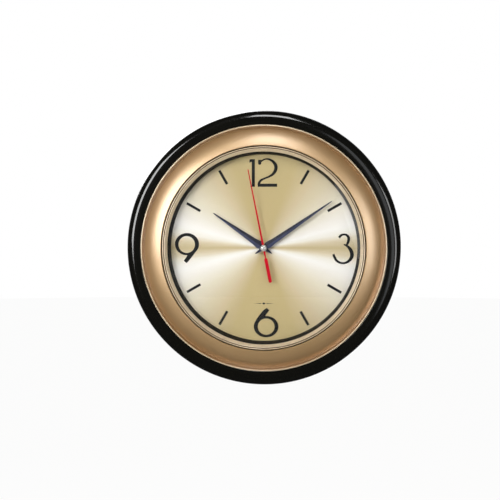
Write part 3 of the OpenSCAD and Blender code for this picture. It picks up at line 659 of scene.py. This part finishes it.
def build_bead_ring():
    (_, _, base), (out_r, _, top) = cbox("glass_retaining_ring")
    t = cbox("glass")[1][2]
    b1, b2, br = (108.35, top - 1.05), (110.05, top - 0.85), 0.85
    outline = fillets([(109.4, t), (105.3, t, 0.12), (105.3, t + 0.7, 0.25), (107.3, top - 1.35, 0.2), (107.55, top - 1.3)], 4)[1:-1]
    outline += arc(*b1, br, 188, 12, 14)
    outline += arc(*b2, br, 168, 0, 14)
    outline += [(out_r, base), (109.4, base), (109.4, t)]
    bm = bmesh.new()
    lathe_into(bm, outline, 480)
    ob = make("double_bead_ring", bm, MAT["bright_gold_plating"], 44)
    for k in ("lip", "bead_groove_painted_shade"):
        ob.data.materials.append(MAT[k])
    for f in ob.data.polygons:
        c = f.center
        r, z = math.hypot(c.x, c.z) / MM, -c.y / MM
        # faces between the beads and on the outer slope take the dark groove material (painted shade); the bead tops
        # and inner chamfer take the lighter lip material (painted highlight)
        if z > t + 0.3:
            f.material_index = 2 if 108.6 < r < 109.7 or r > 110.5 else 1
    return stand_for(ob, "glass_retaining_ring")


def build_glass():
    (_, _, z0), (r, _, z1) = cbox("glass")
    outline = [(0, z0), (r - 20, z0), (r - 0.35, z0), (r, z0 + 0.35), (r, z1 - 0.35), (r - 0.35, z1), (r - 20, z1), (0, z1)]
    bm = bmesh.new()
    lathe_into(bm, outline, 256, closed=False)
    ob = stand_for(make("front_glass", bm, MAT["clear_glass"], 20), "glass")
    return ob


def build_spacer():
    (_, _, z0), (_, _, z1) = cbox("dial_spacer_ring")
    out = cbox("dial_spacer_ring")[1][0]
    outline = fillets([(102.7, z0, 0.12), (104.8, z1, 0.2), (106.8, z1, 0.15), (106.8, z0 + 1.6, 0.3), (out, z0 + 1.6, 0.2), (out, z0, 0.1)], 4)
    bm = bmesh.new()
    lathe_into(bm, outline, 320)
    return stand_for(make("black_dial_surround", bm, MAT["deep_black"]), "dial_spacer_ring")


def build_dial():
    (_, _, z0), (r, _, z1) = cbox("dial")
    hole = 3.6
    outline = [(hole, z0), (hole, z1 - 0.1), (hole + 0.1, z1), (12, z1), (40, z1), (75, z1), (r - 0.1, z1), (r, z1 - 0.1), (r, z0)]
    bm = bmesh.new()
    lathe_into(bm, outline, 256)
    return stand_for(make("sunray_dial_sheet", bm, MAT["sunray_dial"], 25), "dial")


def build_cap():
    (x0, _, z0), (x1, _, z1) = cbox("centre_cap")
    r = (x1 - x0) / 2
    R = 5.4
    cz = z1 - R
    edge = cz + math.sqrt(R * R - r * r)
    a0 = math.degrees(math.atan2(edge - cz - 0.0, r))
    outline = [(0.56, z0 + 0.9), (0.56, z0), (r - 0.15, z0), (r, z0 + 0.15), (r, edge - 0.12)] + arc(0, cz, R, a0 + 2.0, 90, 22)
    outline[-1] = (0, z1)
    outline = [(0, z0 + 0.9)] + outline
    bm = bmesh.new()
    lathe_into(bm, outline, 96, closed=False)
    return stand_for(make("domed_cap", bm, MAT["silver_cap"], 30), "centre_cap")


def two_facets(ob, deg):
    """The upper facet of a ridged hand gets a darker copy of the navy lacquer and the lower facet a lighter copy:
    painted shade and painted light by facet direction.
    """
    ob.data.materials.clear()
    ob.data.materials.append(lacquered_hand(f"navy_painted_shaded_facet_{int(deg)}", lin(20, 23, 42), lin(26, 29, 50), 0.36, -deg))
    ob.data.materials.append(lacquered_hand(f"navy_painted_lit_facet_{int(deg)}", lin(54, 59, 89), lin(63, 69, 100), 0.36, -deg))
    for f in ob.data.polygons:
        f.material_index = 1 if f.normal.y < -0.5 and f.normal.z < -0.02 else 0


build_outer_frame()
build_gold_ring()
build_bead_ring()
build_glass()
build_spacer()
build_dial()
build_cap()

two_facets(softened("hour_hand", "hour_hand_blade", 0.14, 2, 5, sharp=4.5), 304.5)
two_facets(softened("minute_hand", "minute_hand_blade", 0.12, 2, 5, sharp=4.5), 55.5)
needle = softened("second_hand", "second_hand_needle", 0.08, 2, 30)
a = math.radians(348.7)
along, across = Vector((math.sin(a), 0, math.cos(a))), Vector((math.cos(a), 0, -math.sin(a)))
for v in needle.data.vertices:
    t, w = v.co.dot(along) / MM, v.co.dot(across)
    if -11.8 < t < -3.2:
        v.co -= across * (w * 0.4)

# ------------------------------------------------------------------ back
softened("dial_tray", "tray_moulding", 0.3, 2)
softened("case_screws", "case_screw_set", 0.18, 2)
softened("hanger_plate", "keyhole_plate", 0.2, 3)
softened("hanger_posts", "plate_posts", 0.25, 2)
softened("hanger_screws", "plate_screws", 0.18, 2)
softened("movement_case", "movement_shell", 0.3, 2)
softened("movement_cover", "movement_lid", 0.22, 2)
softened("setting_knob", "time_knob", 0.12, 2)
softened("battery_can", "cell_can", 0.2, 3)
softened("battery_sleeve", "cell_sleeve", 0.1, 2)
softened("battery_plus_cap", "cell_button", 0.35, 3)
softened("battery_contact_plus", "plus_strip", 0.08, 2)
softened("battery_contact_minus", "minus_strip", 0.08, 2)

for n, ob in NODES.items():
    if not ob.hide_render:
        ob.data.materials.clear()
        ob.data.materials.append(MAT[SLOT_OF[n]])

# ------------------------------------------------------------------ stage, lights, camera
CENTRE = Vector((0.0, -0.036, 0.0))


def direction(phi, off):
    """The direction at clock angle phi, off degrees from the dial's axis."""
    p, o = math.radians(phi), math.radians(off)
    return Vector((math.sin(o) * math.sin(p), -math.cos(o), math.sin(o) * math.cos(p)))


def softbox(name, phi, off, dist, across, along, power, colour=(1, 1, 1), spread=180):
    """A rectangular soft light that faces the clock, across wide round the axis and along deep away from it."""
    data = bpy.data.lights.new(name, "AREA")
    data.shape = "RECTANGLE"
    data.size, data.size_y = across, along
    data.energy = power
    data.color = colour
    data.spread = math.radians(spread)
    ob = bpy.data.objects.new(name, data)
    bpy.context.scene.collection.objects.link(ob)
    d = direction(phi, off)
    ob.location = CENTRE + d * dist
    z = d
    tangent = Vector((math.cos(math.radians(phi)), 0, -math.sin(math.radians(phi))))
    y = z.cross(tangent).normalized()
    x = y.cross(z).normalized()
    from mathutils import Matrix
    ob.rotation_euler = Matrix((x, y, z)).transposed().to_euler()
    ob.visible_camera = False
    return ob


softbox("left_box", 289, 34, 1.25, 0.56, 0.56, 6.9)
softbox("right_box", 84, 34, 1.25, 0.5, 0.42, 2.2)
softbox("top_box", 1, 39, 1.25, 0.28, 0.5, 2.9)
card = softbox("right_card", 84, 8, 1.3, 0.12, 0.42, 0.115, (0.94, 0.97, 1.0))
card.location = (0.19, -1.33, 0.02)
card.rotation_euler = (math.radians(90), 0, 0)
card.rotation_euler.rotate_axis("Z", math.radians(18))
softbox("back_box", 325, 132, 1.3, 1.0, 1.0, 14.0)
softbox("back_low", 120, 146, 1.3, 1.0, 1.0, 6.0)

world = bpy.data.worlds.new("studio")
bpy.context.scene.world = world
world.use_nodes = True
wn = Net(world.node_tree)
wout = wn.add("ShaderNodeOutputWorld")
seen = wn.add("ShaderNodeBackground")
seen.inputs[0].default_value = (1.0, 1.0, 1.0, 1)
seen.inputs[1].default_value = 1.0
lit = wn.add("ShaderNodeBackground")
tc = wn.add("ShaderNodeTexCoord")
front = wn.vmath("DOT_PRODUCT", tc.outputs["Generated"], (0, -1, 0))
wn.link(wn.ramp(wn.remap(front, -1, 1, 0, 1), [(0.0, (0.14, 0.14, 0.145)), (0.3, (0.035, 0.035, 0.036)), (0.5, (0.035, 0.035, 0.036)), (0.8, (0.06, 0.06, 0.06)), (1.0, (0.05, 0.05, 0.05))]), lit.inputs[0])
lit.inputs[1].default_value = 1.0
lp = wn.add("ShaderNodeLightPath")
wm = wn.add("ShaderNodeMixShader")
wn.link(lp.outputs["Is Camera Ray"], wm.inputs[0])
wn.link(lit.outputs[0], wm.inputs[1])
wn.link(seen.outputs[0], wm.inputs[2])
wn.link(wm.outputs[0], wout.inputs[0])

floor_bm = bmesh.new()
floor_z = cad_lo.z - 0.5
rim = [floor_bm.verts.new((8 * math.cos(2 * math.pi * k / 96), 8 * math.sin(2 * math.pi * k / 96), floor_z)) for k in range(96)]
floor_bm.faces.new(rim)
floor_me = bpy.data.meshes.new("floor")
floor_bm.to_mesh(floor_me)
floor_bm.free()
fm, fnet, fp, fout = new_mat("pale_floor", Metallic=0.0)
fv = coords(fnet)
fnet.link(fnet.mix(fnet.noise(fv, 3, 3, 0.5), (0.93, 0.93, 0.925), (0.96, 0.96, 0.955)), fp.inputs["Base Color"])
fp.inputs["Roughness"].default_value = 0.9
fp.inputs["Specular IOR Level"].default_value = 0.1
seen_floor = fnet.add("ShaderNodeEmission")
seen_floor.inputs[0].default_value = (0.998, 0.998, 0.996, 1)
flp = fnet.add("ShaderNodeLightPath")
fmix = fnet.add("ShaderNodeMixShader")
fnet.link(fnet.math("MULTIPLY", flp.outputs["Is Camera Ray"], 0.97), fmix.inputs[0])
fnet.link(fp.outputs[0], fmix.inputs[1])
fnet.link(seen_floor.outputs[0], fmix.inputs[2])
fnet.link(fmix.outputs[0], fout.inputs[0])
floor_me.materials.append(fm)
floor_ob = bpy.data.objects.new("floor", floor_me)
bpy.context.scene.collection.objects.link(floor_ob)
floor_ob.visible_glossy = False

AZ, EL = 3.0, 2.0
LENS, DIST = 85.0, 1.294
cam_data = bpy.data.cameras.new("camera")
cam_data.lens = LENS
cam_data.sensor_width = 36.0
cam_data.clip_start = 0.05
cam_data.clip_end = 60
cam = bpy.data.objects.new("camera", cam_data)
bpy.context.scene.collection.objects.link(cam)
a, e = math.radians(AZ), math.radians(EL)
back = Vector((math.sin(a) * math.cos(e), -math.cos(a) * math.cos(e), math.sin(e)))
q = (-back).to_track_quat("-Z", "Y")
right, up = q @ Vector((1, 0, 0)), q @ Vector((0, 1, 0))
px = 2 * DIST * math.tan(math.atan(18 / LENS)) / 500
target = Vector((0, -0.032, 0)) - right * (263.6 - 250) * px + up * (248.05 - 250) * px
cam.rotation_mode = "QUATERNION"
cam.rotation_quaternion = q
cam.location = target + back * DIST
bpy.context.scene.camera = cam

bpy.context.scene.view_settings.view_transform = "Standard"
bpy.context.scene.view_settings.look = "None"
